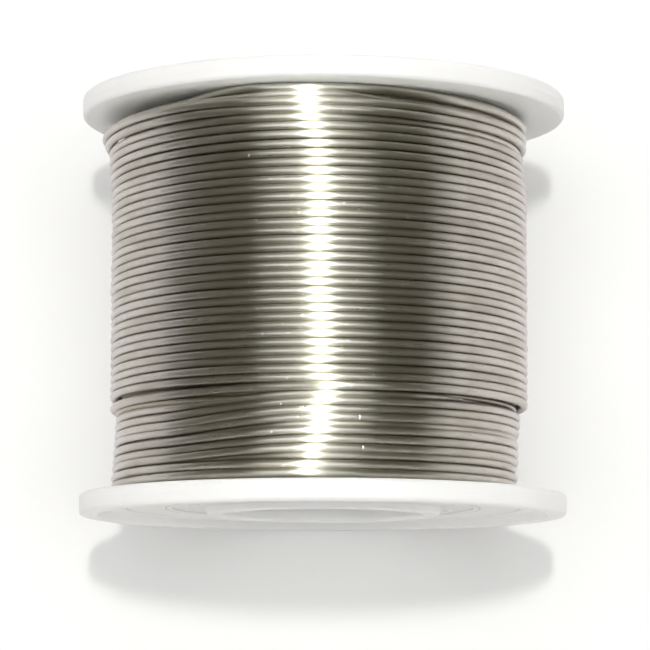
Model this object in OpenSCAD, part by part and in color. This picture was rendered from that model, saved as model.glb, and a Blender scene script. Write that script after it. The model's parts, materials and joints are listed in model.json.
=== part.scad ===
// Solder wire spool: two moulded flanges pressed on a core barrel, wound with cored solder wire.
// The spool lies on its rims, its axis along Y, with the origin in the middle of the bore.

/* [Flanges] */
// Diameter of the two flanges
flange_d = 60; // [56:1:80]
// Thickness of a flange at its rim
flange_t = 2.6; // [2.2:0.1:4]
// Rounding of the rim's two edges
rim_round = 0.9; // [0.3:0.1:1]
// Width of the raised rim land on the outer face
rim_land = 2.7; // [2:0.1:4]
// Depth of the recess in the outer face, between the rim land and the hub mouth
face_recess = 1.1; // [0.4:0.1:1.3]
// Width of the raised lip round the hub mouth
mouth_lip = 2.4; // [1.5:0.1:3]
// Diameter of the small holes that a wire end is drawn through
wire_hole_d = 1.7; // [1.6:0.1:2.2]

/* [Core barrel] */
// Distance between the two flanges, which the wire fills
traverse = 46.8; // [40:0.2:70]
// Outer diameter of the barrel that the wire is wound on
barrel_d = 32; // [30:1:36]
// Wall of the barrel
barrel_wall = 2; // [1.2:0.1:2.4]
// Depth of the groove in a flange that the barrel's end seats in
seat_depth = 0.6; // [0.3:0.1:0.7]
// Radial clearance between the barrel and its seat
seat_clearance = 0.1; // [0.05:0.05:0.2]

/* [Hub] */
// Bore for the rod of a solder stand
bore_d = 13; // [10:0.5:14]
// Wall of the hub round the bore
hub_wall = 2.2; // [1.5:0.1:2.6]
// Wall of the spigot that a flange reaches into the barrel with
spigot_wall = 1.7; // [1.2:0.1:2.2]
// Length of the spigot inside the barrel
spigot_len = 8; // [4:0.5:15]
// Number of ribs between the hub and the spigot
rib_count = 6; // [3:1:8]
// Thickness of a rib
rib_t = 1.6; // [1:0.1:2.5]
// How far the hub and its ribs lie below the outer face of the rim
hub_inset = 2; // [1.6:0.1:3]

/* [Labels] */
// Thickness of the paper labels
label_t = 0.15; // [0.1:0.05:0.3]
// Bare face left between a label and the wire holes
label_margin = 0.5; // [0.3:0.1:1.5]

/* [Solder winding] */
// Diameter of the solder wire
wire_d = 1; // [0.8:0.1:1.2]
// Diameter over the outer layer of turns
winding_d = 52; // [46:0.5:54]
// How much lower the layer beneath lies, where it shows beside the near flange
layer_drop = 0.6; // [0.3:0.1:0.9]
// How much the first turns at the far flange stand proud of the layer
first_turns_proud = 0.6; // [0.1:0.1:0.9]
// Length of the traverse that the outer layer covers, from the far flange
outer_cover = 36.3; // [20:0.1:37]
// Thickness of a drawn loop, each of which stands for nearly two turns of the wire
loop_d = 1.6; // [1.2:0.05:1.6]
// Spacing of the drawn loops along the axis
loop_pitch = 1.85; // [1.85:0.01:2.4]

/* [Wire ends] */
// Length of the free tip that is lifted to draw wire off
free_tip_len = 12; // [6:0.5:14]
// Length of the start tail that lies on the far flange's outer face
start_tail_len = 12; // [5:0.5:20]
// Diameter of the flux core inside the wire
flux_core_d = 0.4; // [0.3:0.05:0.5]

/* [Hidden] */

// Facets, cuts and angles
rim_fn = 96;
hub_fn = 64;
hole_fn = 24;
round_steps = 6;
cut_past = 1;
half_turn = 180;

// Plastic parts, radii from the axis and heights from the middle of the spool
flange_r = flange_d / 2;
barrel_r = barrel_d / 2;
barrel_bore_r = barrel_r - barrel_wall;
spigot_r = barrel_bore_r - seat_clearance;
spigot_bore_r = spigot_r - spigot_wall;
hub_r = bore_d / 2 + hub_wall;
inner_face = traverse / 2;
outer_face = inner_face + flange_t;
recess_floor = outer_face - face_recess;
recess_r = flange_r - rim_land;
mouth_lip_r = spigot_bore_r + mouth_lip;
recess_draft = 0.25;
mouth_round = 0.5;
lip_inset = 0.1;
spigot_lead = 0.4;
rib_sink = 0.3;
plastic_colour = "whitesmoke";

// Wire holes: one beside the barrel for the start of the wire, one beside the rim for its end
hole_margin = 0.25;
start_hole_r = barrel_r + seat_clearance + hole_margin + wire_hole_d / 2;
end_hole_r = recess_r - hole_margin / 2 - wire_hole_d / 2;
end_hole_a = 250;
start_hole_a = end_hole_a - half_turn;

// The winding: loops are polygons swept round the axis, in cylindrical coordinates [r, angle, z]
loop_rings = 24;
loop_sides = 6;
ring_step = 360 / loop_rings;
winding_gap = 0.05;
wound_end = inner_face - winding_gap;
loop_half_w = loop_d / 2 * cos(half_turn / loop_sides);
outer_r = winding_d / 2 - loop_d / 2;
under_r = outer_r - layer_drop;
core_r = (outer_r - loop_d / 2) * cos(ring_step / 2) - winding_gap;
bare_strip = 0.25;
outer_end_a = 200;
outer_rings = floor((outer_cover - winding_gap - 2 * loop_half_w) / loop_pitch * loop_rings);
under_cover = traverse - outer_cover - bare_strip;
under_rings = floor((under_cover - winding_gap - 2 * loop_half_w) / loop_pitch * loop_rings);
outer_start_z = -wound_end + loop_half_w;
outer_end_z = outer_start_z + outer_rings * loop_pitch / loop_rings;
under_start_z = wound_end - loop_half_w;
under_end_z = under_start_z - under_rings * loop_pitch / loop_rings;
proud_loops = 1.75;
settle_loops = 0.75;
proud_z = outer_start_z + proud_loops * loop_pitch - loop_half_w - winding_gap;
layer_edge_z = (outer_end_z + under_end_z) / 2;
climb_angle = 30;
climb_steps = 6;
climb_root = 1;
solder_colour = "darkgray";

// The wire's two ends
wire_sides = 8;
wire_ring_gap = 2.5 * wire_d;
wire_gap = 0.05;
run_r = winding_d / 2 - layer_drop + wire_gap + wire_d / 2;
lift_angle = 20;
run_turn = 25;
run_end_a = outer_end_a + run_turn;
run_shift = 2;
run_end_z = outer_end_z + run_shift;
joint_gap = 0.3;
tip_r = run_r - wire_gap + joint_gap;
flux_clearance = 0.02;
flux_depth = 2 * wire_d;
flux_proud = 0.1;
tail_bend_r = wire_d;
tail_bend_steps = 4;
tail_z = -recess_floor - wire_gap - wire_d / 2;
tail_bend_a = atan(tail_bend_r / start_hole_r);
tail_turn_a = start_tail_len / start_hole_r * half_turn / PI;
tail_steps = ceil(start_tail_len / wire_ring_gap);
flux_colour = "goldenrod";

function unit(v) = v / norm(v);
function smooth(t) = let(u = min(max(t, 0), 1)) u * u * (3 - 2 * u);
function place(p) = [p[0] * cos(p[1]), p[0] * sin(p[1]), p[2]];
// Where a straight length s along the tangent, forward or back, ends
function straight_on(p, s) = [norm([p[0], s]), p[1] + atan(s / p[0]), p[2]];
function arc_points(centre, r, from, to, steps) =
    [for (i = [0:steps]) let(a = from + (to - from) * i / steps) centre + r * [cos(a), sin(a)]];

// Swept tubes
function heading(path, i) =
    unit(place(path[min(i + 1, len(path) - 1)]) - place(path[max(i - 1, 0)]));
function tube_ring(path, i, d, sides) =
    let(
        t = heading(path, i),
        radial = [cos(path[i][1]), sin(path[i][1]), 0],
        out = unit(radial - (radial * t) * t),
        side = cross(t, out)
    )
    [
        for (k = [0:sides - 1])
        let(a = 360 * k / sides)
        place(path[i]) + d / 2 * (cos(a) * out + sin(a) * side)
    ];
function tube_rings(path, d, sides) = [for (i = [0:len(path) - 1]) tube_ring(path, i, d, sides)];

module tube(path, d, sides) {
    rings = tube_rings(path, d, sides);
    last = (len(path) - 1) * sides;
    points = [for (ring = rings) for (p = ring) p];
    walls = [
        for (i = [0:len(path) - 2])
        for (k = [0:sides - 1])
        let(a = i * sides + k, b = i * sides + (k + 1) % sides)
        each [[a, b, b + sides], [a, b + sides, a + sides]]
    ];
    caps = [for (k = [1:sides - 2]) each [[0, k + 1, k], [last, last + k, last + k + 1]]];
    polyhedron(points = points, faces = concat(walls, caps));
}

// Adds a straight length of one tube diameter to both ends of a coil
function with_straight_ends(coil) =
    concat([straight_on(coil[0], -loop_d)], coil, [straight_on(coil[len(coil) - 1], loop_d)]);

// The outer layer winds on from the far flange; its first loops stand proud and its last part lifts off
function outer_loop_r(i) =
    outer_r
    + first_turns_proud * (1 - smooth((i / loop_rings - proud_loops) / settle_loops))
    + (run_r - outer_r) * smooth((i - outer_rings) * ring_step / lift_angle + 1);
outer_coil = [
    for (i = [0:outer_rings])
    [
        outer_loop_r(i),
        outer_end_a + (i - outer_rings) * ring_step,
        outer_start_z + i * loop_pitch / loop_rings
    ]
];
outer_path = with_straight_ends(outer_coil);

// The layer beneath winds the other way, from the near flange to the end of the outer layer
under_coil = [
    for (i = [0:under_rings])
    [under_r, outer_end_a + (i - under_rings) * ring_step, under_start_z - i * loop_pitch / loop_rings]
];
under_path = with_straight_ends(under_coil);

// Least distance between the points of a coil and those of its next loop
function loop_gap(path) =
    let(rings = tube_rings(path, loop_d, loop_sides))
    min([
        for (i = [0:len(path) - loop_rings - 2])
        for (j = [i + loop_rings - 1:i + loop_rings + 1])
        for (p = rings[i])
        for (q = rings[j])
        norm(p - q)
    ]);

// The free run goes straight on from the outer layer's end, then round to where the tip begins
run_start = straight_on(outer_coil[outer_rings], loop_d + wire_gap);
run_bend = straight_on(outer_coil[outer_rings], loop_d + wire_gap + wire_d);
run_steps = ceil((run_end_a - run_bend[1]) * PI / half_turn * run_r / wire_ring_gap);
run_path = concat(
    [run_start],
    [
        for (i = [0:run_steps])
        let(t = i / run_steps)
        [
            run_bend[0] + (tip_r - run_bend[0]) * t,
            run_bend[1] + (run_end_a - run_bend[1]) * t,
            outer_end_z + run_shift * smooth(t)
        ]
    ]
);

tail_path = concat(
    [[start_hole_r, start_hole_a, -wound_end]],
    [
        for (i = [0:tail_bend_steps])
        let(a = 90 * i / tail_bend_steps)
        [
            start_hole_r,
            start_hole_a + atan(tail_bend_r * (1 - cos(a)) / start_hole_r),
            tail_z + tail_bend_r * (1 - sin(a))
        ]
    ],
    [
        for (i = [1:tail_steps])
        [start_hole_r, start_hole_a + tail_bend_a + tail_turn_a * i / tail_steps, tail_z]
    ]
);
tail_end = tail_path[len(tail_path) - 1];

// Lays a part that is built along its own axis down on its side, with the near end towards -Y
module lay_down() {
    rotate([90, 0, 0]) children();
}

// Section of a flange, as radius and height from the middle of the spool
module flange_section() {
    polygon(concat(
        [
            [spigot_bore_r, inner_face - spigot_len],
            [spigot_r - spigot_lead, inner_face - spigot_len],
            [spigot_r, inner_face - spigot_len + 2 * spigot_lead],
            [spigot_r, inner_face + seat_depth],
            [barrel_r + seat_clearance, inner_face + seat_depth],
            [barrel_r + seat_clearance, inner_face]
        ],
        arc_points([flange_r - rim_round, inner_face + rim_round], rim_round, -90, 0, round_steps),
        arc_points([flange_r - rim_round, outer_face - rim_round], rim_round, 0, 90, round_steps),
        [
            [recess_r + recess_draft, outer_face],
            [recess_r, recess_floor],
            [mouth_lip_r, recess_floor],
            [mouth_lip_r - recess_draft, outer_face - lip_inset]
        ],
        arc_points(
            [spigot_bore_r + mouth_round, outer_face - lip_inset - mouth_round],
            mouth_round, 90, half_turn, round_steps
        )
    ));
}

// One moulding serves for both flanges: disc, spigot, half of the hub and the ribs
module flange() {
    hub_end = outer_face - hub_inset;
    rib_foot = inner_face - spigot_len;
    difference() {
        union() {
            rotate_extrude($fn = rim_fn) flange_section();
            cylinder(r = hub_r, h = hub_end, $fn = hub_fn);
            for (i = [0:rib_count - 1])
                rotate(end_hole_a + i * 360 / rib_count)
                    translate([hub_r - rib_sink, -rib_t / 2, rib_foot])
                        cube([spigot_bore_r - hub_r + 2 * rib_sink, rib_t, hub_end - rib_foot]);
        }
        translate([0, 0, -cut_past]) cylinder(d = bore_d, h = outer_face + 2 * cut_past, $fn = hub_fn);
        rotate(end_hole_a) wire_hole(end_hole_r);
        rotate(start_hole_a) wire_hole(start_hole_r);
    }
}

module wire_hole(r) {
    translate([r, 0, inner_face - cut_past])
        cylinder(d = wire_hole_d, h = flange_t + 2 * cut_past, $fn = hole_fn);
}

module near_flange() {
    color(plastic_colour) lay_down() flange();
}

// The same moulding turned to face the other way: it is its own mirror image about the plane of its holes
module far_flange() {
    color(plastic_colour) lay_down() mirror([0, 0, 1]) flange();
}

// Plain moulded tube, seated in the grooves of both flanges
module core_barrel() {
    barrel_len = traverse + 2 * seat_depth;
    color("gainsboro")
        lay_down()
            difference() {
                cylinder(r = barrel_r, h = barrel_len, center = true, $fn = rim_fn);
                cylinder(r = barrel_bore_r, h = barrel_len + cut_past, center = true, $fn = rim_fn);
            }
}

// Paper ring on the recessed face, between the two wire holes
module label_ring() {
    translate([0, 0, recess_floor])
        difference() {
            cylinder(r = end_hole_r - wire_hole_d / 2 - label_margin, h = label_t, $fn = rim_fn);
            translate([0, 0, -cut_past])
                cylinder(
                    r = start_hole_r + wire_hole_d / 2 + label_margin,
                    h = label_t + 2 * cut_past,
                    $fn = rim_fn
                );
        }
}

module near_label() {
    color("white") lay_down() label_ring();
}

module far_label() {
    color("white") lay_down() mirror([0, 0, 1]) label_ring();
}

// The wedge with which a turn climbs from the layers inside to the end of a coil, at the coil's end face
module climb(end, coil_r, dir) {
    low_r = core_r - layer_drop;
    rise = coil_r + loop_d / 2 - low_r;
    foot_r = low_r - climb_root;
    from = asin(loop_d / foot_r);
    translate([0, 0, end[2] - loop_half_w])
        linear_extrude(2 * loop_half_w)
            rotate(end[1])
                polygon(concat(
                    [[foot_r, dir * loop_d]],
                    [
                        for (i = [0:climb_steps])
                        let(
                            t = i / climb_steps,
                            r = low_r + rise * (1 - t),
                            a = dir * (from + climb_angle * t)
                        )
                        i == 0 ? [r, dir * loop_d] : r * [cos(a), sin(a)]
                    ],
                    [foot_r * [cos(dir * climb_angle), sin(dir * climb_angle)]]
                ));
}

module plain_core(r, from_z, to_z) {
    translate([0, 0, from_z]) cylinder(r = r, h = to_z - from_z, $fn = rim_fn);
}

// The layers that don't show, as one plain core, stepped as the turns over it are
module solder_inner_layers() {
    color(solder_colour)
        lay_down()
            difference() {
                union() {
                    plain_core(core_r, -wound_end, layer_edge_z);
                    plain_core(core_r + first_turns_proud, -wound_end, proud_z);
                    plain_core(core_r - layer_drop, layer_edge_z, wound_end);
                    climb(outer_coil[0], outer_coil[0][0], -1);
                    climb(under_coil[0], under_r, -1);
                    climb(under_coil[under_rings], under_r, 1);
                }
                cylinder(r = barrel_r + winding_gap, h = 2 * inner_face, center = true, $fn = rim_fn);
            }
}

module solder_outer_layer() {
    color(solder_colour) lay_down() tube(outer_path, loop_d, loop_sides);
}

module solder_under_layer() {
    color(solder_colour) lay_down() tube(under_path, loop_d, loop_sides);
}

// From the end of the outer layer, over the layer beneath
module solder_free_run() {
    color(solder_colour) lay_down() tube(run_path, wire_d, wire_sides);
}

// Stands at the end of the free run, with the tip's direction as its own +Z
module at_free_tip() {
    rotate(run_end_a)
        translate([tip_r, joint_gap + wire_d / 2, run_end_z])
            rotate([-90, 0, 0])
                children();
}

// Straight tip that turns about its rounded root, cored with flux from its cut end
module solder_free_tip() {
    core_hole_r = flux_core_d / 2 + flux_clearance;
    color(solder_colour)
        lay_down()
            at_free_tip()
                rotate_extrude($fn = hole_fn)
                    polygon(concat(
                        arc_points([0, 0], wire_d / 2, -90, 0, round_steps),
                        [
                            [wire_d / 2, free_tip_len],
                            [core_hole_r, free_tip_len],
                            [core_hole_r, flux_depth],
                            [0, flux_depth]
                        ]
                    ));
}

module free_tip_flux_core() {
    color(flux_colour)
        lay_down()
            at_free_tip()
                translate([0, 0, flux_depth])
                    cylinder(d = flux_core_d, h = free_tip_len - flux_depth, $fn = hole_fn);
}

// The wire's first end, drawn out through the hole beside the barrel and bent over on the far flange
module solder_start_tail() {
    color(solder_colour) lay_down() tube(tail_path, wire_d, wire_sides);
}

// Flux that stands a little proud of the tail's cut end
module start_tail_flux_core() {
    color(flux_colour)
        lay_down()
            translate(place(tail_end))
                rotate(tail_end[1] - tail_turn_a / tail_steps / 2)
                    rotate([-90, 0, 0])
                        cylinder(d = flux_core_d, h = flux_proud, $fn = hole_fn);
}

echo(outer_layer_loops = outer_rings / loop_rings, least_gap_mm = loop_gap(outer_path));
echo(under_layer_loops = under_rings / loop_rings, least_gap_mm = loop_gap(under_path));

far_flange();
near_flange();
core_barrel();
far_label();
near_label();
solder_inner_layers();
solder_outer_layer();
solder_under_layer();
solder_free_run();
solder_free_tip();
free_tip_flux_core();
solder_start_tail();
start_tail_flux_core();
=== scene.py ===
# Solder wire spool: 1 mm cored wire wound on a white plastic spool that lies on its rims, its axis along Y.
# Places on the spool are given round that axis: the angle from +X towards +Z, the radius, and Y.
import json
import math

import bmesh
import bpy
import numpy as np
from mathutils import Matrix, Vector


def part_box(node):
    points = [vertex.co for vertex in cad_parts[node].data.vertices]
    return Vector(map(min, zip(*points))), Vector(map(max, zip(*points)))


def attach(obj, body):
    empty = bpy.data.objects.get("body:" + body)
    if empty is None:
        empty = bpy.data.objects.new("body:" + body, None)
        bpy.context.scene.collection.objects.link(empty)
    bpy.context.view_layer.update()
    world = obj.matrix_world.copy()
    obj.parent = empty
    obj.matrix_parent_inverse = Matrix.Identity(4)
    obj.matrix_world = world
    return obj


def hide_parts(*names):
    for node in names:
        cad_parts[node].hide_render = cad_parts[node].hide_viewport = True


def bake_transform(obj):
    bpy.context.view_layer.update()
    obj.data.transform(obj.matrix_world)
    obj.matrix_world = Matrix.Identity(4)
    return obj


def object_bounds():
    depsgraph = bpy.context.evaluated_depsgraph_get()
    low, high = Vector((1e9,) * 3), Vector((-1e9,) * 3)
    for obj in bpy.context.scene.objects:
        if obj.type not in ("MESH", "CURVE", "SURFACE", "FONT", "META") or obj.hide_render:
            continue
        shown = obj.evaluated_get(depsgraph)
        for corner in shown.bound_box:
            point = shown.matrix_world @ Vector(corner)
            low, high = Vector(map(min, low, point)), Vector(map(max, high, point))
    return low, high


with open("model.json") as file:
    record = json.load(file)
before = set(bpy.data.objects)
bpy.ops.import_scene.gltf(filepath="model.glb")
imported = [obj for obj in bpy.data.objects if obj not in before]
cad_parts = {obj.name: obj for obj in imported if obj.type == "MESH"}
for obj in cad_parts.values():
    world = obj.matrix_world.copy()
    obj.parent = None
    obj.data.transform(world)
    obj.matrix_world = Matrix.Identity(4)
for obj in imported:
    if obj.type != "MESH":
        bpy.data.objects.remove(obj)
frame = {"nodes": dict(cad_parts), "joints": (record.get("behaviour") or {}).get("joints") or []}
cad_low, cad_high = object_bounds()


# ---- Camera ----
# A long lens held above the spool, a little to the near side and tilted towards the far flange.
# The turns show from above, the far flange shows its inner face, and the near one its rim.
mm = 0.001
camera_place = Vector((0.3, -52.8, 418.8)) * mm
camera_tilt = 0.1202
camera_roll = 0.0015
camera_lens = 188.3

camera = bpy.data.objects.new("camera", bpy.data.cameras.new("camera"))
bpy.context.scene.collection.objects.link(camera)
camera.data.lens = camera_lens
camera.data.clip_start = 0.01
camera.location = camera_place
camera.rotation_euler = (camera_tilt, 0, camera_roll)
bpy.context.scene.camera = camera


# ---- White table and backdrop ----
# A matt white sheet lies under the spool, and two white boards stand far off, on the left and on the right.
# The camera sees the sheet a little brighter than the lamps make it, running out into plain white, as the
# boards and the room do. The turns mirror the boards and the darker room. In them the sheet takes a painted
# reflection colour, dimmer on the left and brighter on the right, as if a window lit its right side.
table_half = 3.0
table_white = (0.90, 0.90, 0.90, 1)
table_seen_white = (0.84, 0.845, 0.85, 1)
painted_reflection_left = (0.59, 0.575, 0.61, 1)
painted_reflection_right = (0.82, 0.78, 0.82, 1)
painted_reflection_reach = 0.3
table_glow = 0.112
table_fade = (0.07, 0.18)
boards = (
    # side, middle angle, height, glow at the foot and at the top
    ("left", 180, 0.5, 0.10, 0.05),
    ("right", 0, 1.4, 0.70, 0.30),
)
board_spread = 30
board_steps = 24
far_white = (0.95, 0.95, 0.95, 1)
far_white_from = 0.25
far_white_to = 0.8


def add_node(tree, kind, inputs=(), **settings):
    """A shader node with its settings, its inputs being values or the sockets that feed them."""
    node = tree.nodes.new("ShaderNode" + kind)
    for key, value in settings.items():
        setattr(node, key, value)
    for key, value in dict(inputs).items():
        if isinstance(value, bpy.types.NodeSocket):
            tree.links.new(value, node.inputs[key])
        else:
            node.inputs[key].default_value = value
    return node


def mix_colours(tree, share, first, second):
    """The first colour, going over into the second as the share goes from 0 to 1."""
    return add_node(tree, "Mix", {"Factor": share, 6: first, 7: second}, data_type="RGBA").outputs[2]


def ramp(tree, value, low, high, first=0.0, last=1.0, shape="LINEAR"):
    """Goes from the first to the last number as the value goes from low to high."""
    inputs = {0: value, 1: low, 2: high, 3: first, 4: last}
    return add_node(tree, "MapRange", inputs, interpolation_type=shape).outputs[0]


def new_material(name):
    """A material with an empty node tree and its output node."""
    material = bpy.data.materials.new(name)
    material.use_nodes = True
    material.node_tree.nodes.clear()
    return material, material.node_tree, material.node_tree.nodes.new("ShaderNodeOutputMaterial")


def seen_straight(tree):
    """1 for camera and transmission rays, and the light path's outputs."""
    ray = add_node(tree, "LightPath").outputs
    straight = {0: ray["Is Camera Ray"], 1: ray["Is Transmission Ray"]}
    return add_node(tree, "Math", straight, operation="MAXIMUM").outputs[0], ray


def white_surface(name, glows, upwards, reach):
    """Matt white with a glow that camera, glossy and transmission rays see.
    The glow goes from one to the other strength with the distance from the spool, or upwards.
    Glossy rays see a painted reflection colour in place of the white, going from dim on the left to bright
    on the right."""
    material, tree, output = new_material(name)
    straight, ray = seen_straight(tree)
    seen = add_node(tree, "Math", {0: straight, 1: ray["Is Glossy Ray"]}, operation="MAXIMUM").outputs[0]
    place = add_node(tree, "TexCoord").outputs["Object"]
    distance = add_node(tree, "VectorMath", {0: place}, operation="LENGTH").outputs["Value"]
    parts = add_node(tree, "SeparateXYZ", {0: place}).outputs
    away = parts["Z"] if upwards else distance
    glow = ramp(tree, away, *reach, *glows, "SMOOTHSTEP")
    white = mix_colours(tree, straight, table_white, table_seen_white)
    # Painted reflection: glossy rays see the white dimmer on the left and brighter on the right.
    right = ramp(tree, parts["X"], -painted_reflection_reach, painted_reflection_reach)
    mirrored = mix_colours(tree, right, painted_reflection_left, painted_reflection_right)
    white = mix_colours(tree, ray["Is Glossy Ray"], white, mirrored)
    matt = add_node(tree, "BsdfDiffuse", {"Color": white}).outputs[0]
    strength = add_node(tree, "Math", {0: seen, 1: glow}, operation="MULTIPLY").outputs[0]
    light = add_node(tree, "Emission", {"Strength": strength}).outputs[0]
    both = add_node(tree, "AddShader", {0: matt, 1: light}).outputs[0]
    far = ramp(tree, distance, far_white_from, far_white_to, shape="SMOOTHSTEP")
    far = add_node(tree, "Math", {0: far, 1: straight}, operation="MULTIPLY").outputs[0]
    plain = add_node(tree, "Emission", {"Color": far_white}).outputs[0]
    shown = add_node(tree, "MixShader", {0: far, 1: both, 2: plain}).outputs[0]
    tree.links.new(shown, output.inputs["Surface"])
    return material


def mesh_object(name, vertices, faces, smooth=True):
    """A new mesh object in the scene, from a list of points and a list of faces."""
    mesh = bpy.data.meshes.new(name)
    mesh.from_pydata([tuple(v) for v in vertices], [], [tuple(f) for f in faces])
    mesh.polygons.foreach_set("use_smooth", [smooth] * len(mesh.polygons))
    mesh.update()
    piece = bpy.data.objects.new(name, mesh)
    bpy.context.scene.collection.objects.link(piece)
    return piece


table_level = cad_low.z
table = mesh_object(
    "table",
    [(x * table_half, y * table_half, table_level) for x, y in ((-1, -1), (1, -1), (1, 1), (-1, 1))],
    [(0, 1, 2, 3)],
)
sheet_white = white_surface("white_table", (table_glow, 0.0), upwards=False, reach=table_fade)
table.data.materials.append(sheet_white)

for side, middle, height, foot_glow, top_glow in boards:
    board_points = []
    for i in range(board_steps + 1):
        angle = math.radians(middle + board_spread * (2 * i / board_steps - 1))
        x, y = table_half * math.cos(angle), table_half * math.sin(angle)
        board_points += [(x, y, table_level), (x, y, table_level + height)]
    board = mesh_object(
        side + "_board",
        board_points,
        [(2 * i, 2 * i + 1, 2 * i + 3, 2 * i + 2) for i in range(board_steps)],
    )
    glows = (foot_glow, top_glow)
    board_white = white_surface(side + "_board_white", glows, upwards=True, reach=(0.0, height))
    board.data.materials.append(board_white)


# ---- Lamps ----
# One small lamp high above the far side draws the bright line along the turns and the flange's shadow, and
# the glare of a long tube overhead carries that line down into the grooves.
# A soft panel overhead, fill light before, behind and above, and the dim, warm room do the rest.
key_place = Vector((0.013, 0.226, 1.372))
key_size = (0.055, 0.10)
key_power = 6.4
key_colour = (1.0, 0.99, 0.96)
glare_place = Vector((0.012, 0.13, 1.2))
glare_size = (0.10, 1.2)
glare_power = 14.5
glare_colour = (0.95, 1.0, 0.97)
panel_place = Vector((-0.025, 0.04, 0.9))
panel_size = (0.90, 0.95)
panel_power = 4.3
fill_size = (1.0, 1.0)
fills = (
    # side, place in m, power in W
    ("top", (0.0, 0.1, 1.3), 2.3),
    ("front", (0.0, -1.35, 0.33), 4.2),
    ("back", (0.0, 1.5, 0.45), 4.0),
    ("left", (-1.3, 0.0, 0.3), 2.6),
    ("right", (1.3, 0.0, 0.3), 2.6),
)
room_across = (0.205, 0.194, 0.163, 1)
room_ahead = (0.08, 0.074, 0.06, 1)
room_turn = (0.15, 0.65)


def add_lamp(name, place, size, power, colour=(1, 1, 1), matt=True, shiny=True):
    """An area lamp aimed at the spool, out of the camera's sight, for matt surfaces, shiny ones or both."""
    lamp = bpy.data.objects.new(name, bpy.data.lights.new(name, "AREA"))
    bpy.context.scene.collection.objects.link(lamp)
    lamp.data.shape = "RECTANGLE"
    lamp.data.size, lamp.data.size_y = size
    lamp.data.energy = power
    lamp.data.color = colour
    lamp.location = place
    lamp.rotation_euler = (-place).to_track_quat("-Z", "Y").to_euler()
    lamp.visible_camera = False
    lamp.visible_diffuse = matt
    lamp.visible_glossy = shiny
    return lamp


add_lamp("key_lamp", key_place, key_size, key_power, key_colour).data.shape = "ELLIPSE"
add_lamp("tube_glare", glare_place, glare_size, glare_power, glare_colour, matt=False)
add_lamp("soft_panel", panel_place, panel_size, panel_power)
for side, place, power in fills:
    add_lamp(side + "_fill", Vector(place), fill_size, power, shiny=False)

room = bpy.data.worlds.new("room")
bpy.context.scene.world = room
room.use_nodes = True
room_tree = room.node_tree
room_way = add_node(room_tree, "TexCoord").outputs["Generated"]
room_way = add_node(room_tree, "SeparateXYZ", {0: room_way}).outputs["Y"]
room_way = add_node(room_tree, "Math", {0: room_way}, operation="ABSOLUTE").outputs[0]
room_way = ramp(room_tree, room_way, *room_turn, shape="SMOOTHSTEP")
room_dim = mix_colours(room_tree, room_way, room_across, room_ahead)
room_shown = mix_colours(room_tree, seen_straight(room_tree)[0], room_dim, far_white)
room_tree.links.new(room_shown, room_tree.nodes["Background"].inputs["Color"])
bpy.context.scene.view_settings.view_transform = "Standard"


# ---- Core barrel ----
# A plain moulded tube that the wire is wound on, seated in grooves of the two flanges.
# The winding hides it, so the CAD part stays and only takes the plastic's finish.
plastic_white = (0.93, 0.935, 0.935, 1)
plastic_soiled = (0.87, 0.87, 0.86, 1)


def noise(tree, place, scale, **settings):
    """Noise from 0 to 1 at a place, so many waves to the metre."""
    return add_node(tree, "TexNoise", {"Vector": place, "Scale": scale, **settings}).outputs[0]


def relief(tree, height, depth, strength, **settings):
    """Shading of a relief too fine to be modelled; Normal in the settings is the relief below it."""
    below = {key: settings.pop(key) for key in list(settings) if key == "Normal"}
    inputs = {"Height": height, "Distance": depth, "Strength": strength, **below}
    return add_node(tree, "Bump", inputs, **settings).outputs[0]


def moulded_plastic(name):
    """White moulded polystyrene: a fine satin texture, faint soiling and duller, scuffed patches."""
    material, tree, output = new_material(name)
    place = add_node(tree, "TexCoord").outputs["Object"]
    soil = ramp(tree, noise(tree, place, 55.0, Detail=6.0, Roughness=0.65), 0.5, 0.82, 0.0, 0.5)
    colour = mix_colours(tree, soil, plastic_white, plastic_soiled)
    scuff = noise(tree, place, 420.0, Detail=5.0, Roughness=0.7)
    gloss = ramp(tree, scuff, 0.35, 0.7, 0.32, 0.52)
    grain = noise(tree, place, 5200.0, Detail=3.0)
    wave = noise(tree, place, 160.0, Detail=2.0)
    fine = relief(tree, grain, 0.006 * mm, 0.5)
    sink = relief(tree, wave, 0.04 * mm, 0.5, Normal=fine)
    surface = add_node(
        tree,
        "BsdfPrincipled",
        {
            "Base Color": colour, "Roughness": gloss, "Normal": sink, "IOR": 1.5, "Specular IOR Level": 0.5,
            "Subsurface Weight": 0.8, "Subsurface Radius": (1.0, 0.95, 0.9), "Subsurface Scale": 3.0 * mm,
        },
    )
    tree.links.new(surface.outputs[0], output.inputs["Surface"])
    return material


barrel_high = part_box("core_barrel")[1]
barrel = frame["nodes"]["core_barrel"]
barrel.data.materials.clear()
barrel.data.materials.append(moulded_plastic("barrel_plastic_finish"))


# ---- Flanges ----
# Two alike mouldings: a recessed disc, a spigot pressed into the barrel, half the hub and six ribs.
# Disc and hub are turned on a lathe here, as their moulds were. Then the ribs and gate stubs are joined to
# them, and the ejector marks and wire holes cut away.
near_low, near_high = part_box("near_flange")
flange_r = near_high.x
outer_face = -near_low.y
flange_t = 2.6 * mm
inner_face = outer_face - flange_t
rim_round = 0.5 * mm
rim_seam = 0.02 * mm
recess_floor = outer_face - 1.1 * mm
recess_r = flange_r - 2.7 * mm
recess_draft = 0.25 * mm
recess_round = 0.3 * mm
seat_r = barrel_high.x + 0.1 * mm
seat_top = barrel_high.y
seat_chamfer = 0.1 * mm
spigot_r = seat_r - 2.2 * mm
spigot_bore_r = spigot_r - 1.7 * mm
spigot_foot = inner_face - 8 * mm
spigot_lead = 0.4 * mm
lip_r = spigot_bore_r + 2.4 * mm
lip_top = outer_face - 0.1 * mm
lip_round = 0.5 * mm
bore_r = 6.5 * mm
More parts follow.
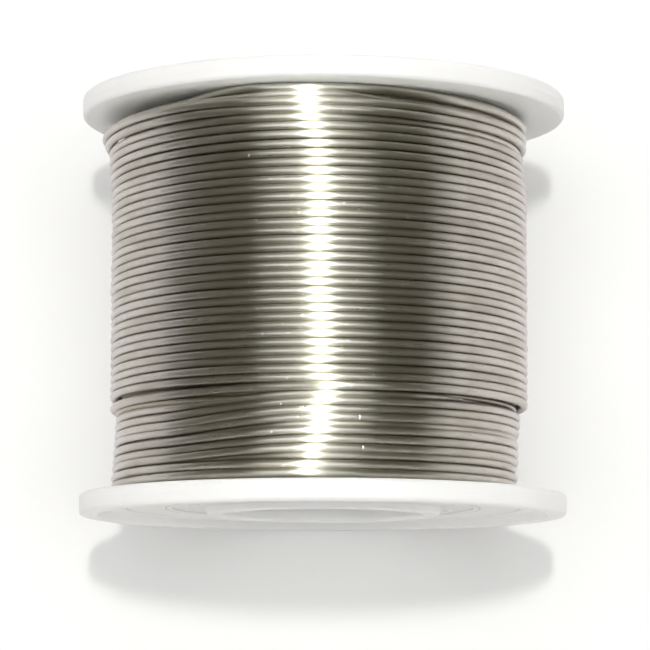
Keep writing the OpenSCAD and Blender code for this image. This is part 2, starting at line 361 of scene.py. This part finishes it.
hub_r = bore_r + 2.2 * mm
hub_end = outer_face - 2.0 * mm
hub_round = 0.35 * mm
rib_count = 6
rib_t = 1.6 * mm
rib_flare = 0.7 * mm
rib_round = 0.2 * mm
rib_overlap = 0.25 * mm
hole_r = 0.85 * mm
hole_round = 0.12 * mm
start_hole_at = (17.2 * mm, 70)
end_hole_at = (26.325 * mm, 250)
mark_ring_r = 16.6 * mm
ejector_angles = (25, 115, 205, 295)
ejector_r = 1.1 * mm
ejector_depth = 0.06 * mm
gate_angles = (160, 340)
gate_r = 0.7 * mm
gate_height = 0.15 * mm
gate_round = 0.1 * mm
lathe_sides = 240
hub_sides = 120
drill_sides = 32
gate_sides = 24
sharp_edge = math.radians(35)


def arc(r, height, size, start, end, steps=6):
    """Points of an arc in a section, as (radius, height), from one angle to another in degrees."""
    angles = [math.radians(start + (end - start) * i / steps) for i in range(steps + 1)]
    return [(r + size * math.cos(a), height + size * math.sin(a)) for a in angles]


def turned(name, section, sides=lathe_sides, centre=(0.0, 0.0)):
    """A closed section turned about an axis along Y: its heights run towards the near side."""
    cx, cz = centre
    count = len(section)
    points = []
    for k in range(sides):
        a = 2 * math.pi * k / sides
        points += [(cx + r * math.cos(a), -h, cz + r * math.sin(a)) for r, h in section]
    faces = [
        (k * count + i, k * count + j, (k + 1) % sides * count + j, (k + 1) % sides * count + i)
        for k in range(sides)
        for i, j in ((i, (i + 1) % count) for i in range(count))
    ]
    return tidy_normals(mesh_object(name, points, faces))


def tidy_normals(piece):
    """Merges doubled points, drops faces without area and turns all faces outwards."""
    shape = bmesh.new()
    shape.from_mesh(piece.data)
    bmesh.ops.remove_doubles(shape, verts=shape.verts, dist=1e-7)
    bmesh.ops.dissolve_degenerate(shape, edges=shape.edges, dist=1e-8)
    bmesh.ops.recalc_face_normals(shape, faces=shape.faces)
    shape.to_mesh(piece.data)
    shape.free()
    return piece


def on_ring(r, angle):
    """The X and Z of a point at a radius and an angle in degrees."""
    return (r * math.cos(math.radians(angle)), r * math.sin(math.radians(angle)))


def disc_section():
    """Section of the disc with its rounded rim, recessed face and the spigot that fits the barrel."""
    rim_r = flange_r - rim_seam
    return (
        [
            (spigot_bore_r, spigot_foot),
            (spigot_r - spigot_lead, spigot_foot),
            (spigot_r, spigot_foot + 2 * spigot_lead),
            (spigot_r, seat_top),
            (seat_r, seat_top),
            (seat_r, inner_face + seat_chamfer),
            (seat_r + seat_chamfer, inner_face),
        ]
        + arc(rim_r - rim_round, inner_face + rim_round, rim_round, -90, 0)
        + [
            (rim_r, (inner_face + outer_face) / 2 - rim_seam),
            (flange_r, (inner_face + outer_face) / 2),
            (rim_r, (inner_face + outer_face) / 2 + rim_seam),
        ]
        + arc(rim_r - rim_round, outer_face - rim_round, rim_round, 0, 90)
        + arc(recess_r + recess_draft + recess_round, outer_face - recess_round, recess_round, 90, 165, 4)
        + arc(recess_r - recess_round, recess_floor + recess_round, recess_round, -15, -90, 4)
        + arc(lip_r + recess_round, recess_floor + recess_round, recess_round, 270, 195, 4)
        + arc(lip_r - recess_draft - recess_round, lip_top - recess_round, recess_round, 15, 90, 4)
        + arc(spigot_bore_r + lip_round, lip_top - lip_round, lip_round, 90, 180)
    )


def hub_section():
    """Section of the half hub, from the middle of the spool to its rounded end."""
    return (
        [(bore_r, 0.0), (hub_r, 0.0)]
        + arc(hub_r - hub_round, hub_end - hub_round, hub_round, 0, 90, 4)
        + arc(bore_r + hub_round, hub_end - hub_round, hub_round, 90, 180, 4)
    )


def rib(angle):
    """A rib between hub and spigot that flares where it meets them, with a rounded top edge."""
    steps = 5
    flare = []
    for i in range(steps + 1):
        a = math.pi / 2 * i / steps
        flare.append((rib_flare * (1 - math.cos(a)), rib_t / 2 + rib_flare * (1 - math.sin(a))))
    foot = rib_t / 2 + rib_flare
    side = [(hub_r - rib_overlap, foot)]
    side += [(hub_r + x, y) for x, y in flare]
    side += [(spigot_bore_r - x, y) for x, y in reversed(flare)]
    side += [(spigot_bore_r + rib_overlap, foot)]
    outline = side + [(x, -y) for x, y in reversed(side)]
    layers = [(0.0, spigot_foot), (0.0, hub_end - rib_round)]
    layers += [(rib_round * (1 - math.cos(a)), hub_end - rib_round * (1 - math.sin(a)))
               for a in (math.pi / 6, math.pi / 3, math.pi / 2)]
    turn = Matrix.Rotation(math.radians(angle), 2)
    points = []
    for inset, height in layers:
        for x, y in outline:
            at = turn @ Vector((x, y - math.copysign(inset, y)))
            points.append((at.x, -height, at.y))
    count = len(outline)
    faces = [
        (j * count + i, j * count + (i + 1) % count, (j + 1) * count + (i + 1) % count, (j + 1) * count + i)
        for j in range(len(layers) - 1)
        for i in range(count)
    ]
    top = (len(layers) - 1) * count
    faces += [tuple(range(count)), tuple(range(top, top + count))]
    return tidy_normals(mesh_object("rib", points, faces))


def hole_cutter(at):
    """A drill for a wire hole that rounds its edges on both faces."""
    section = (
        [(0.0, inner_face - mm), (hole_r + hole_round, inner_face - mm)]
        + arc(hole_r + hole_round, inner_face + hole_round, hole_round, 270, 180, 4)
        + arc(hole_r + hole_round, recess_floor - hole_round, hole_round, 180, 90, 4)
        + [(hole_r + hole_round, outer_face + mm), (0.0, outer_face + mm)]
    )
    return turned("hole_cutter", section, drill_sides, on_ring(*at))


def combine(piece, other, operation):
    """Joins another solid to a piece or cuts it away, and removes it."""
    modifier = piece.modifiers.new("combine", "BOOLEAN")
    modifier.solver = "EXACT"
    modifier.operation = operation
    modifier.object = other
    made = bpy.data.meshes.new_from_object(piece.evaluated_get(bpy.context.evaluated_depsgraph_get()))
    piece.modifiers.clear()
    piece.data = made
    bpy.data.objects.remove(other)


def near_flange_mesh():
    """The whole moulding, as the near flange."""
    piece = turned("near_flange_moulding", disc_section())
    combine(piece, turned("hub", hub_section(), hub_sides), "UNION")
    for i in range(rib_count):
        combine(piece, rib(end_hole_at[1] + i * 360 / rib_count), "UNION")
    for angle in gate_angles:
        stub = [(0, recess_floor - mm), (gate_r, recess_floor - mm)]
        stub += arc(gate_r - gate_round, recess_floor + gate_height - gate_round, gate_round, 0, 90, 3)
        stub += [(0, recess_floor + gate_height)]
        combine(piece, turned("gate", stub, gate_sides, on_ring(mark_ring_r, angle)), "UNION")
    for angle in ejector_angles:
        pin = [(0, recess_floor - ejector_depth), (ejector_r, recess_floor - ejector_depth)]
        pin += [(ejector_r, outer_face + mm), (0, outer_face + mm)]
        combine(piece, turned("ejector", pin, drill_sides, on_ring(mark_ring_r, angle)), "DIFFERENCE")
    for at in (start_hole_at, end_hole_at):
        combine(piece, hole_cutter(at), "DIFFERENCE")
    return piece


def finish_moulding(piece, material):
    """Smooth shading with crisp corners, and the plastic's material."""
    piece.data.polygons.foreach_set("use_smooth", [True] * len(piece.data.polygons))
    piece.data.set_sharp_from_angle(angle=sharp_edge)
    piece.modifiers.new("even_normals", "WEIGHTED_NORMAL").keep_sharp = True
    piece.data.materials.clear()
    piece.data.materials.append(material)


flange_finish = moulded_plastic("flange_plastic_finish")
near_flange = near_flange_mesh()
far_flange = bpy.data.objects.new("far_flange_moulding", near_flange.data.copy())
bpy.context.scene.collection.objects.link(far_flange)
far_flange.data.transform(Matrix.Scale(-1, 4, (0, 1, 0)))
far_flange.data.flip_normals()
for piece, node in ((near_flange, "near_flange"), (far_flange, "far_flange")):
    finish_moulding(piece, flange_finish)
    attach(piece, "spool")
    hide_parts(node)


# ---- Labels ----
# A paper ring is glued on the recessed face of each flange, between its two wire holes.
# They carry no print but two thin grey lines.
label_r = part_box("near_label")[1].x
label_bore_r = start_hole_at[0] + hole_r + 0.5 * mm
label_t = 0.15 * mm
label_round = 0.03 * mm
paper_white = (0.88, 0.875, 0.85, 1)
print_grey = (0.60, 0.605, 0.61, 1)
print_lines = (label_bore_r + 0.8 * mm, label_r - 0.8 * mm)
print_line_w = 0.18 * mm


def label_paper():
    """Uncoated paper with faint fibres and two printed rings."""
    material, tree, output = new_material("label_paper_finish")
    place = add_node(tree, "TexCoord").outputs["Object"]
    parts = add_node(tree, "SeparateXYZ", {0: place}).outputs
    flat = add_node(tree, "CombineXYZ", {"X": parts["X"], "Y": parts["Z"]}).outputs[0]
    r = add_node(tree, "VectorMath", {0: flat}, operation="LENGTH").outputs["Value"]
    printed = None
    for line_r in print_lines:
        away = add_node(tree, "Math", {0: r, 1: line_r}, operation="SUBTRACT").outputs[0]
        away = add_node(tree, "Math", {0: away}, operation="ABSOLUTE").outputs[0]
        line = ramp(tree, away, print_line_w * 0.4, print_line_w * 0.6, 1.0, 0.0)
        if printed is not None:
            line = add_node(tree, "Math", {0: line, 1: printed}, operation="MAXIMUM").outputs[0]
        printed = line
    fibre = noise(tree, place, 1800.0, Detail=5.0, Distortion=1.2)
    ink = ramp(tree, fibre, 0.3, 0.7, 0.8, 1.0)
    ink = add_node(tree, "Math", {0: ink, 1: printed}, operation="MULTIPLY").outputs[0]
    colour = mix_colours(tree, ink, paper_white, print_grey)
    rough = ramp(tree, fibre, 0.0, 1.0, 0.75, 0.9)
    bump = relief(tree, fibre, 0.02 * mm, 0.6)
    surface = add_node(tree, "BsdfPrincipled", {"Base Color": colour, "Roughness": rough, "Normal": bump})
    tree.links.new(surface.outputs[0], output.inputs["Surface"])
    return material


paper = label_paper()
for side, node in ((1, "near_label"), (-1, "far_label")):
    section = (
        [(label_bore_r, recess_floor), (label_r, recess_floor)]
        + arc(label_r - label_round, recess_floor + label_t - label_round, label_round, 0, 90, 2)
        + arc(label_bore_r + label_round, recess_floor + label_t - label_round, label_round, 90, 180, 2)
    )
    label = turned(node + "_paper", section)
    if side < 0:
        label.data.transform(Matrix.Scale(-1, 4, (0, 1, 0)))
        label.data.flip_normals()
    finish_moulding(label, paper)
    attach(label, "spool")
    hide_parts(node)


# ---- Inner turns ----
# Layer on layer of wire fills the spool up to the two layers that show. Only the top of the last hidden
# layer can be glimpsed between the turns, so all of it is one rippled body. On the left it leaves a deep
# gap beside the far flange, and a stray turn lies under the outer layer's edge. The body is painted with
# dark olive shade all over, so that the gap and the glimpses between turns look shaded.
wire_d = 1.0 * mm
winding_end = inner_face - 0.05 * mm
outer_turn_r = 25.3 * mm
under_turn_r = 24.5 * mm
inner_r_below_outer = 24.4 * mm
inner_r_below_under = 23.7 * mm
inner_bore_r = barrel_high.x + 0.05 * mm
winding_off_centre = 0.5
inner_sides = 96
ripples_per_wire = 6
ripple_shape = 0.7
layer_edge = -13.4 * mm
layer_edge_left = 0.9 * mm
layer_edge_w = 0.6 * mm
far_gap_w = 1.4 * mm
far_gap_depth = 2.4 * mm
stray_turn_lift = 0.8 * mm
stray_turn_at = -13.45 * mm
stray_turn_w = 0.5 * mm
left_side_slope = 1.6
# How far the inner turns take the painted shade, given as a place in the wire's section in mm.
painted_shade_height = 0.2
solder_bright = (0.66, 0.645, 0.585, 1)
solder_dull = (0.50, 0.48, 0.41, 1)
# Painted shade: the dark olive of the wire's sides towards the grooves and of the inner turns.
solder_painted_shade = (0.42, 0.395, 0.31, 1)
draw_line_strength = 0.99


def smooth_step(t):
    """0 below 0, 1 above 1 and smooth between."""
    t = np.clip(t, 0, 1)
    return t * t * (3 - 2 * t)


def lopsided(angle):
    """How far, in mm, the winding stands out at an angle: it was wound a little off centre, to the left."""
    return -winding_off_centre * np.cos(np.radians(angle))


def solder_finish(name):
    """Drawn tin-lead wire: draw lines along it, dull patches, small nicks, and painted shade in dark olive
    on its sides towards the grooves.
    """
    material, tree, output = new_material(name)
    space = add_node(tree, "Attribute", attribute_name="wire_space").outputs["Vector"]
    outward = add_node(tree, "SeparateXYZ", {0: space}).outputs["Y"]

    def along_wire(stretch, scale, detail):
        at = add_node(tree, "VectorMath", {0: space, 1: (stretch, 1, 1)}, operation="MULTIPLY").outputs[0]
        return noise(tree, at, scale, Detail=detail)

    lines = along_wire(0.04, 7.0, 4.0)
    patches = along_wire(0.25, 0.35, 5.0)
    nicks = along_wire(1.0, 1.6, 2.0)
    dull = ramp(tree, patches, 0.42, 0.72)
    colour = mix_colours(tree, dull, solder_bright, solder_dull)
    # Painted shade: the sides of each turn that face its neighbours go over into a dark olive.
    colour = mix_colours(tree, ramp(tree, outward, 0.45, 0.08), colour, solder_painted_shade)
    rough = ramp(tree, lines, 0.3, 0.7, 0.265, 0.305)
    rough = add_node(tree, "Math", {0: dull, 1: 0.035, 2: rough}, operation="MULTIPLY_ADD").outputs[0]
    drawn = relief(tree, lines, 0.004 * mm, 0.6)
    nicked = relief(tree, ramp(tree, nicks, 0.675, 0.76), 0.03 * mm, 0.7, Normal=drawn, invert=True)
    lengthwise = add_node(tree, "Tangent", direction_type="RADIAL", axis="Y").outputs[0]
    surface = add_node(
        tree,
        "BsdfPrincipled",
        {
            "Base Color": colour, "Metallic": 1.0, "Roughness": rough, "Normal": nicked,
            "Anisotropic": draw_line_strength, "Anisotropic Rotation": 0.25, "Tangent": lengthwise,
        },
    )
    tree.links.new(surface.outputs[0], output.inputs["Surface"])
    return material


def set_wire_space(piece, along, outward, sideways):
    """Stores each point's place in the wire as if it were pulled straight, in mm."""
    attribute = piece.data.attributes.new("wire_space", "FLOAT_VECTOR", "POINT")
    attribute.data.foreach_set("vector", np.stack([along, outward, sideways], 1).astype(np.float32).ravel())


def inner_turns():
    """The rippled outside of the hidden layers, with flat ends, and the bore that sits on the barrel."""
    columns = int(round(2 * winding_end / wire_d * ripples_per_wire))
    y = np.linspace(winding_end, -winding_end, columns + 1)
    angle = 2 * math.pi * np.arange(inner_sides) / inner_sides
    a, yy = np.meshgrid(angle, y)
    phase = (yy / wire_d - a / (2 * math.pi)) * math.pi
    crest = np.abs(np.cos(phase))
    left = smooth_step(-left_side_slope * np.cos(a))
    below_under = smooth_step((layer_edge - layer_edge_left * left - yy) / layer_edge_w + 0.5)
    top = inner_r_below_outer + (inner_r_below_under - inner_r_below_outer) * below_under
    r = top - wire_d / 2 * (1 - crest ** ripple_shape) + lopsided(np.degrees(a)) * mm
    r -= far_gap_depth * smooth_step((yy - winding_end) / far_gap_w * 2 + 2) * left
    r += stray_turn_lift * np.exp(-((yy - stray_turn_at) / stray_turn_w) ** 2) * left
    r = np.vstack([np.full(inner_sides, inner_bore_r), r, np.full(inner_sides, inner_bore_r)])
    yy = np.vstack([yy[0], yy, yy[-1]])
    a = np.vstack([a[0], a, a[-1]])
    points = np.stack([r * np.cos(a), yy, r * np.sin(a)], 2).reshape(-1, 3)
    rows = len(r)
    faces = [
        (i * inner_sides + k, i * inner_sides + (k + 1) % inner_sides,
         (i + 1) % rows * inner_sides + (k + 1) % inner_sides, (i + 1) % rows * inner_sides + k)
        for i in range(rows)
        for k in range(inner_sides)
    ]
    piece = tidy_normals(mesh_object("solder_inner_turns", points, faces))
    co = np.array([v.co for v in piece.data.vertices])
    r = np.hypot(co[:, 0], co[:, 2])
    along = np.arctan2(co[:, 2], co[:, 0]) * r / mm
    # The inner turns take the painted groove shade all over, so the deep gap and the glimpses between turns
    # look dark.
    set_wire_space(piece, along, np.full(len(r), painted_shade_height), co[:, 1] / mm)
    return piece


solder = solder_finish("solder_finish")
inner = inner_turns()
inner.data.materials.append(solder)
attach(inner, "spool")
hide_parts("solder_inner_layers")


# ---- Outer layer ----
# The last layer is wound on from the far flange, 36 turns of 1 mm wire laid side by side.
# Turns 0, 1 and 4 have sunk in places between their neighbours, and every turn wanders a little.
wire_drawn_d = 1.01 * mm
wire_sides = 16
rings_per_turn = 126
cut_edge = 0.12 * wire_drawn_d
cut_rim = (0.4 * cut_edge, 0.35 * cut_edge)
cut_middle = (0.5 * cut_edge, 1.6 * cut_edge)
level_part = 0.6
helix_share = 0.2
outer_start_angle = -100
outer_end_angle = 200
outer_last_turn = 35 + (outer_end_angle - 90) / 360
outer_turn_places = (
    # turn, Y in mm
    (-1.0, 22.9), (0.0, 22.88), (1.0, 22.08), (2.0, 21.24), (3.0, 20.3), (4.0, 19.4), (5.0, 18.42),
    (6.0, 17.34), (8.0, 15.14), (10.0, 13.0), (12.0, 10.98), (36.0, -13.33),
)
outer_sag_turns = (11, 36)
outer_sag = (0.3, 0.12)
sagging_turns = (11, 5)
first_turns_sag = 0.3
outer_kinks = (
    # turn, from angle, to angle, angle it fades over, lift and shift in mm
    (0, 106, 262, 30, -2.9, -0.1),
    (0, -100, 74, 30, 0.0, -0.25),
    (1, -80, 88, 20, -0.8, -0.3),
    (1, 98, 250, 20, -0.4, -0.3),
    (2, 100, 240, 30, 0.0, 0.2),
    (2, -60, 80, 30, 0.0, -0.08),
    (3, 100, 240, 30, 0.0, 0.12),
    (3, -60, 80, 20, 0.0, -0.14),
    (4, -30, 92, 30, -0.45, 0.0),
    (35, 92, 300, 60, 0.0, -0.42),
)
outer_tips = (
    # turn, how far it tips over to the right on top of the spool, in mm per radian
    (0, -0.8), (1, -1.1), (2, -1.0), (3, -0.6), (4, -1.1), (5, -0.75), (6, -0.4), (8, -0.2), (10, 0.0),
    (24, 0.0), (27, 0.25), (31, 0.45), (32, 0.2), (33, -0.1), (34, 0.7), (35, 1.9),
)
tip_width = 0.6
lifted_turns = (4.2, 1.6)
first_turns_lift = 0.35
first_turns_lift_left = 0.5
left_side_from = 0.2
left_side_fade = 1.2
leaning_turns = (9, 4)
top_lean = 0.35
wander_waves = (
    # waves in a turn, share of the size
    (0.6, 1.0), (1.7, 0.8), (3.9, 0.6), (8.3, 0.4), (15.7, 0.22),
)
wander_drift = 0.7
wander_drift_rate = 0.137
wander_out = 0.03
wander_sideways = 0.015
lead_in_angle = 50
lead_in_start = 0.6
lead_in_depth = 1.0
lift_off_angle = 20
run_start_r = 25.95


def turn_angle(s):
    """The angle, in degrees, that a turn count stands for: whole counts lie on top of the spool."""
    return 90 + 360 * s


def before_turn(s, turn, fade):
    """1 for the first turns, 0 from the given one on, fading over so many turns."""
    return smooth_step((turn - s) / fade)


def wander(s, seed, size):
    """A smooth, seeded unevenness along the wire, in mm."""
    random = np.random.default_rng(seed)
    total = np.zeros_like(s)
    for rate, share in wander_waves:
        phases = random.uniform(0, 2 * math.pi, 3)
        drift = wander_drift * np.sin(2 * math.pi * s * rate * wander_drift_rate + phases[0]) + phases[1]
        total += share * np.sin(2 * math.pi * s * rate + drift * 2 + phases[2])
    return size * total


def kinked(s, kinks, column):
    """The lift or the shift that the kinks add at each turn count."""
    total = np.zeros_like(s)
    for kink in kinks:
        start, end = (kink[0] + (kink[i] - 90) / 360 for i in (1, 2))
        fade = kink[3] / 360
        total += kink[column] * smooth_step((s - start) / fade) * smooth_step((end - s) / fade)
    return total


def tipped(s, tips):
    """The lift, on top of the spool only, that tips the turns over a little to one side, in mm."""
    across = -2 * math.pi * (s - np.round(s))
    return np.interp(s, *zip(*tips)) * across * np.exp(-(across / tip_width) ** 2)


def stepped(s):
    """Turn counts as the turns lie: nearly level on top, with most of the step to the next one below."""
    whole = np.round(s)
    part = s - whole
    below = smooth_step((np.abs(part) - level_part / 2) / (1 - level_part))
    return whole + helix_share * part + (1 - helix_share) * np.sign(part) * below


def settled(s, places):
    """Y of each turn count from the places of a few turns, in mm, with the corners between them smoothed."""
    rings = rings_per_turn // 2
    step = s[1] - s[0]
    before = s[0] - step * np.arange(rings, 0, -1)
    after = s[-1] + step * np.arange(1, rings + 1)
    wide = np.concatenate([before, s, after])
    counts, at = zip(*places)
    y = np.interp(wide, counts, at)
    slope_out = (at[-1] - at[-2]) / (counts[-1] - counts[-2])
    y = np.where(wide > counts[-1], at[-1] + (wide - counts[-1]) * slope_out, y)
    window = np.hanning(2 * rings + 3)[1:-1]
    return np.interp(stepped(s), s, np.convolve(y, window / window.sum(), "valid"))


def round_spool(r, angle, y):
    """Points from radii and Y in mm and angles in degrees."""
    a = np.radians(angle)
    return np.stack([r * np.cos(a), y, r * np.sin(a)], 1) * mm


def wire(name, path, along_start=0.0, sides=wire_sides, bore=None):
    """A round wire swept along a path, closed at both ends; bore = (radius, depth) opens its last end."""
    wire_r = wire_drawn_d / 2
    step = np.linalg.norm(np.diff(path, axis=0), axis=1)
    along = along_start + np.concatenate([[0], np.cumsum(step)]) / mm
    tangent = np.gradient(path, axis=0)
    tangent /= np.linalg.norm(tangent, axis=1)[:, None]
    out = path * [1, 0, 1]
    out -= (out * tangent).sum(1)[:, None] * tangent
    out /= np.linalg.norm(out, axis=1)[:, None]
    side = np.cross(tangent, out)
    rows = [(path[i], wire_r, tangent[i], out[i], side[i], along[i]) for i in range(len(path))]
    start, end = rows[0], rows[-1]
    rows.insert(0, (start[0], wire_r - cut_edge) + start[2:])
    rows.append((end[0] + end[2] * cut_rim[0], wire_r - cut_rim[1]) + end[2:])
    if bore:
        bore_r, depth = bore
        rows.append((end[0] + end[2] * cut_rim[0], bore_r) + end[2:])
        rows.append((end[0] - end[2] * depth, bore_r) + end[2:])
    else:
        rows.append((end[0] + end[2] * cut_middle[0], wire_r - cut_middle[1]) + end[2:])
    centre, radius, tangent, out, side, along = (np.array(x) for x in zip(*rows))
    a = 2 * math.pi * np.arange(sides) / sides
    ring = radius[:, None, None] * (
        np.cos(a)[None, :, None] * out[:, None, :] + np.sin(a)[None, :, None] * side[:, None, :])
    points = (centre[:, None, :] + ring).reshape(-1, 3)
    first = np.arange(len(centre) - 1)[:, None] * sides
    k = first + np.arange(sides)[None, :]
    beside = first + (np.arange(sides)[None, :] + 1) % sides
    quads = np.stack([k, beside, beside + sides, k + sides], 2)
    last = (len(centre) - 1) * sides
    faces = quads.reshape(-1, 4).tolist() + [list(range(sides))[::-1], list(range(last, last + sides))]
    piece = mesh_object(name, points.tolist(), faces)
    set_wire_space(
        piece,
        np.repeat(along, sides),
        (radius[:, None] * np.cos(a)[None, :]).ravel() / mm,
        (radius[:, None] * np.sin(a)[None, :]).ravel() / mm,
    )
    piece.data.materials.append(solder)
    return piece


def outer_layer_path():
    """The middle line of the outer layer's wire."""
    first = (outer_start_angle - 90 - lead_in_angle) / 360
    s = np.linspace(first, outer_last_turn, int((outer_last_turn - first) * rings_per_turn) + 1)
    angle = turn_angle(s)
    across = np.cos(np.radians(angle))
    left_side = smooth_step((left_side_from - across) / left_side_fade)
    proud = (first_turns_lift + first_turns_lift_left * left_side) * before_turn(s, *lifted_turns)
    lean = -top_lean * across * before_turn(s, *leaning_turns)
    lead_in = lead_in_depth * smooth_step((outer_start_angle - angle) / lead_in_angle + lead_in_start)
    lift_off = smooth_step((angle - turn_angle(outer_last_turn)) / lift_off_angle + 1)
    r = outer_turn_r / mm + proud + lean - lead_in + kinked(s, outer_kinks, 4) + wander(s, 11, wander_out)
    r += (run_start_r - outer_turn_r / mm) * lift_off + lopsided(angle) * (1 - lift_off)
    r += tipped(s, outer_tips)
    sag = np.interp(s, outer_sag_turns, outer_sag) + first_turns_sag * before_turn(s, *sagging_turns)
    y = settled(s, outer_turn_places) + kinked(s, outer_kinks, 5) - sag * across ** 2
    y += wander(s, 12, wander_sideways)
    y = np.minimum(y, (winding_end - wire_d / 2) / mm)
    return round_spool(r, angle, y)


outer_path = outer_layer_path()
outer_layer = wire("solder_outer_turns", outer_path)
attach(outer_layer, "spool")
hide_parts("solder_outer_layer")


# ---- Under layer ----
# The layer beneath shows beside the near flange, where the outer one stops.
# Its turns lie level on the right and step over by one turn on the upper left; turns 4 and 8 have sunk.
under_start_angle = 55
under_end_angle = 290
under_last_turn = 10 + (under_end_angle - 90) / 360
under_turn_places = (
    # turn, Y in mm
    (-1.0, -12.6), (0.0, -13.1), (1.0, -14.02), (3.0, -15.97), (4.0, -16.66), (5.0, -17.46), (6.0, -18.5),
    (7.0, -19.5), (8.0, -20.38), (9.0, -21.45), (10.0, -22.4),
)
under_step_places = ((0.0, -1.1), (1.0, -1.3), (3.0, -1.3), (5.0, -0.88), (7.0, -0.93), (8.6, 0.0))
under_step_angles = (92, 140)
under_along = 7000.0
under_lean_turns = (0, 10)
under_lean = (0.1, 0.6)
under_tips = (
    # turn, how far it tips over to the right on top of the spool, in mm per radian
    (0, 1.2), (1, 1.0), (2, 0.0), (3, 1.0), (4, 0.0), (5, 0.1), (6, 0.2), (7, -0.7), (8, -1.2), (9, -1.3),
)
under_kinks = (
    # turn, from angle, to angle, angle it fades over, lift and shift in mm
    (4, -90, 270, 20, -0.4, 0.0),
    (4, 92, 270, 20, -0.55, 0.0),
    (8, -90, 270, 20, -0.15, 0.0),
    (8, 92, 270, 20, -0.7, 0.0),
)


def under_layer_path():
    """The middle line of the wire in the layer beneath."""
    first = (under_start_angle - 90 - lead_in_angle) / 360
    s = np.linspace(first, under_last_turn, int((under_last_turn - first) * rings_per_turn) + 1)
    angle = turn_angle(s)
    lead_in = smooth_step((under_start_angle - angle) / lead_in_angle + lead_in_start)
    lead_out = smooth_step((angle - turn_angle(under_last_turn)) / lead_in_angle + 1)
    lean = -np.interp(s, under_lean_turns, under_lean) * np.cos(np.radians(angle))
    r = under_turn_r / mm - lead_in_depth * (lead_in + lead_out) + lean + lopsided(angle)
    r += kinked(s, under_kinks, 4) + tipped(s, under_tips) + wander(s, 21, wander_out)
    part = s % 1
    start, end = ((a - 90) / 360 for a in under_step_angles)
    stepping = smooth_step((part - start) / (end - start))
    stepping *= 1 - smooth_step((part - level_part / 2) / (1 - level_part))
    y = settled(s, under_turn_places) + np.interp(s, *zip(*under_step_places)) * stepping
    y += kinked(s, under_kinks, 5) + wander(s, 22, wander_sideways)
    y = np.maximum(y, -(winding_end - wire_d / 2) / mm)
    return round_spool(r, angle, y)


under_layer = wire("solder_under_turns", under_layer_path(), along_start=under_along)
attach(under_layer, "spool")
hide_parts("solder_under_layer")


# ---- Free end ----
# The wire leaves the outer layer under the spool, crosses the layer beneath and ends in a loose tip.
# The tip is bent away by hand to draw wire off; its straight part starts at the bend joint's place.
free_joint = next(j for j in frame["joints"] if j["name"] == "free_end_bend")
root = Vector(free_joint["pos_m"])
tip_direction = Vector((math.sqrt(0.5), 0, -math.sqrt(0.5)))
tip_start = -0.6
tip_end = 11.5
run_end_angle = 225
run_end_r = 26.2
rings_under_outer = 6
free_end_along = 5900.0
free_end_sides = 18
flux_bore = 0.22 * mm
flux_depth = 10.0 * mm

run_start_y = outer_path[-1, 1] / mm
run_t = np.linspace(0, 1, 24)[1:]
run_angle = outer_end_angle + (run_end_angle - outer_end_angle) * run_t
run_r = run_start_r + (run_end_r - run_start_r) * run_t
run_y = run_start_y + (root.y / mm - run_start_y) * smooth_step(run_t)
straight = np.array(root)[None, :] + np.outer(np.linspace(tip_start, tip_end, 50) * mm, tip_direction)
free_path = np.vstack([outer_path[-rings_under_outer:], round_spool(run_r, run_angle, run_y), straight])
free_end = wire("solder_free_end", free_path, free_end_along, free_end_sides, bore=(flux_bore, flux_depth))
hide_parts("solder_free_run", "solder_free_tip")
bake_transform(free_end)


# ---- Flux ----
# The wire is cored with amber rosin, which shows as a small glassy dot at each cut end.
# Both dots are CAD parts that take their finish here.
flux_amber = (0.55, 0.27, 0.05, 1)
flux_dark = (0.32, 0.13, 0.02, 1)


def rosin():
    """Brittle amber resin, clear in places and crazed."""
    material, tree, output = new_material("flux_finish")
    place = add_node(tree, "TexCoord").outputs["Object"]
    cloud = noise(tree, place, 6000.0, Detail=4.0)
    colour = mix_colours(tree, cloud, flux_amber, flux_dark)
    bump = relief(tree, cloud, 0.03 * mm, 0.5)
    rough = ramp(tree, cloud, 0.0, 1.0, 0.12, 0.35)
    surface = add_node(tree, "BsdfPrincipled", {"Base Color": colour, "Roughness": rough, "Normal": bump})
    tree.links.new(surface.outputs[0], output.inputs["Surface"])
    return material


rosin_finish = rosin()
for node in ("free_tip_flux_core", "start_tail_flux_core"):
    frame["nodes"][node].data.materials.clear()
    frame["nodes"][node].data.materials.append(rosin_finish)


# ---- Start tail ----
# The wire's first end is drawn out through the hole beside the barrel and bent over on the far flange.
tail_r = start_hole_at[0] / mm
tail_bend_r = 1.0
tail_level = (recess_floor + 0.05 * mm) / mm + 0.5
tail_length = 12.0
tail_foot = inner_face / mm - 0.4
tail_along = 9000.0
tail_sides = 18

bend_a = np.radians(np.linspace(0, 90, 13))
bend_turn = np.degrees(np.arctan(tail_bend_r * (1 - np.cos(bend_a)) / tail_r))
lie_turn = np.degrees(np.arctan(tail_bend_r / tail_r) + np.linspace(0, tail_length / tail_r, 40)[1:])
tail_angle = np.concatenate([np.zeros(6), bend_turn, lie_turn]) + start_hole_at[1]
tail_y = np.concatenate([
    np.linspace(tail_foot, tail_level - tail_bend_r, 7)[:-1],
    tail_level - tail_bend_r * (1 - np.sin(bend_a)),
    np.full(len(lie_turn), tail_level),
])
tail_path = round_spool(np.full(len(tail_angle), tail_r), tail_angle, tail_y)
tail = wire("solder_start_tail_wire", tail_path, tail_along, tail_sides)
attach(tail, "spool")
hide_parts("solder_start_tail")
